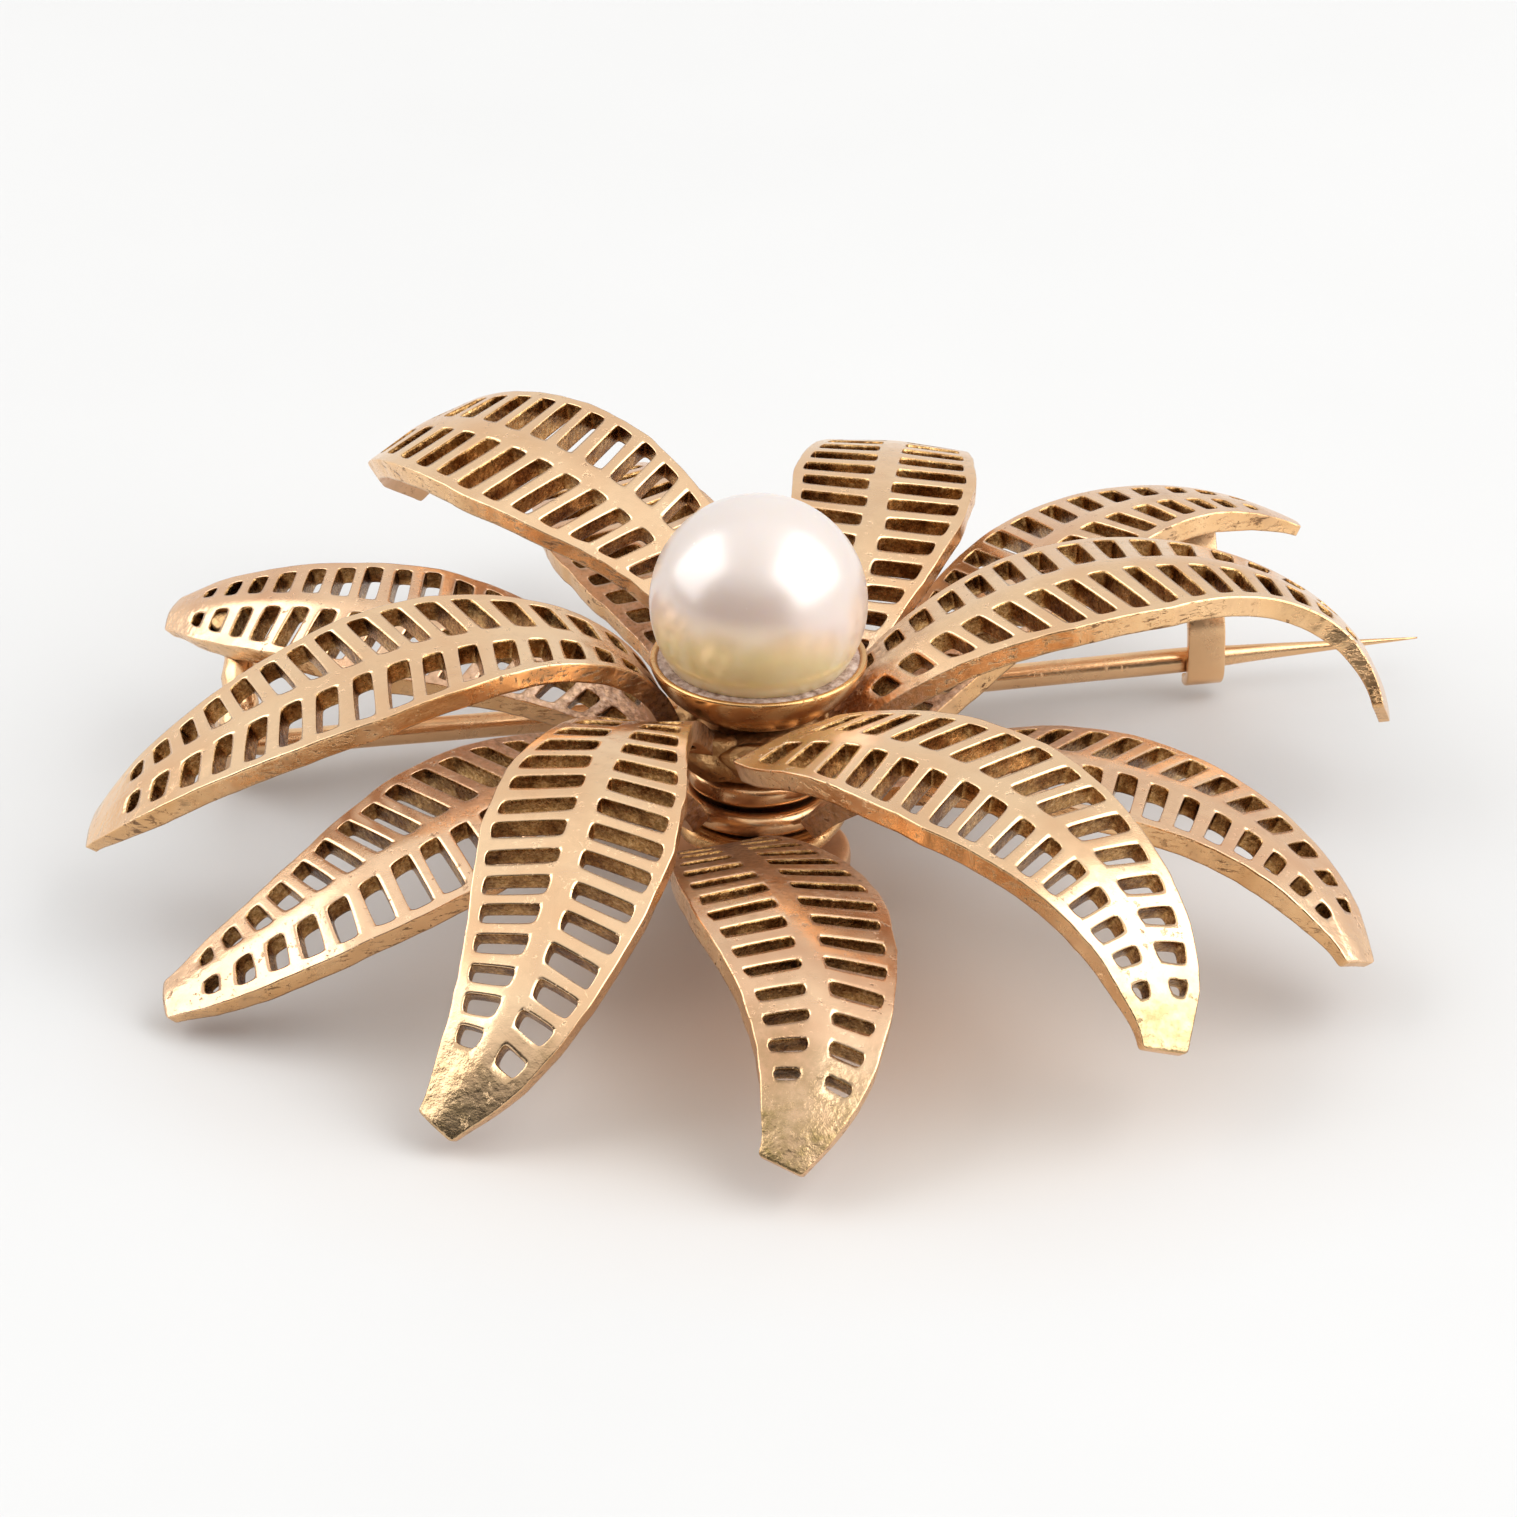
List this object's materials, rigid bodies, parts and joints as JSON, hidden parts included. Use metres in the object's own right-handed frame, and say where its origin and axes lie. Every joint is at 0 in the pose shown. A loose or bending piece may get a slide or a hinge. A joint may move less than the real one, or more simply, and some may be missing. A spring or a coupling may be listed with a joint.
{
  "type": "brooch",
  "caption": "Starburst brooch: a round pearl in a dished cup over two tiers of arched, pierced gold leaves, with a hinged pin stem and hook catch on the back.",
  "frame": {"origin": "middle of the back plate's flat rear face, which is also the level the brooch rests on", "axes": "+Z along the pearl's axis, away from the rear face; +X towards the point of the pin stem's side; the stem lies 11.3 degrees round from +X towards +Y"},
  "size_m": [0.0468, 0.0465, 0.014],
  "materials": {
    "nacre": "soft pearl lustre",
    "gold": "polished rose-yellow gold",
    "gold_leaf": "polished faces over rougher sawn edges",
    "gold_dull": "dull, lightly oxidised gold"
  },
  "bodies": {
    "spray": {"pearl": "nacre", "pearl_peg": "gold_dull", "pearl_cup": "gold", "upper_hub": "gold", "centre_rivet": "gold_dull", "spacer_ring": "gold", "lower_hub": "gold", "back_plate": "gold", "upper_leaf_1": "gold_leaf", "upper_leaf_2": "gold_leaf", "upper_leaf_3": "gold_leaf", "upper_leaf_4": "gold_leaf", "upper_leaf_5": "gold_leaf", "upper_leaf_6": "gold_leaf", "lower_leaf_1": "gold_leaf", "lower_leaf_2": "gold_leaf", "lower_leaf_3": "gold_leaf", "lower_leaf_4": "gold_leaf", "lower_leaf_5": "gold_leaf", "lower_leaf_6": "gold_leaf", "hinge_post": "gold", "hinge_bracket": "gold", "hinge_pin": "gold_dull", "catch_hook": "gold"},
    "stem": {"pin_stem": "gold", "stem_knuckle": "gold"}
  },
  "joints": [
    {"name": "stem_swing", "type": "hinge", "parent": "spray", "child": "stem", "pos_m": [-0.0185, 0.00641, 0.00135], "axis": [-0.1386, 0.6934, 0.7071], "range_deg": [0, 80]}
  ]
}
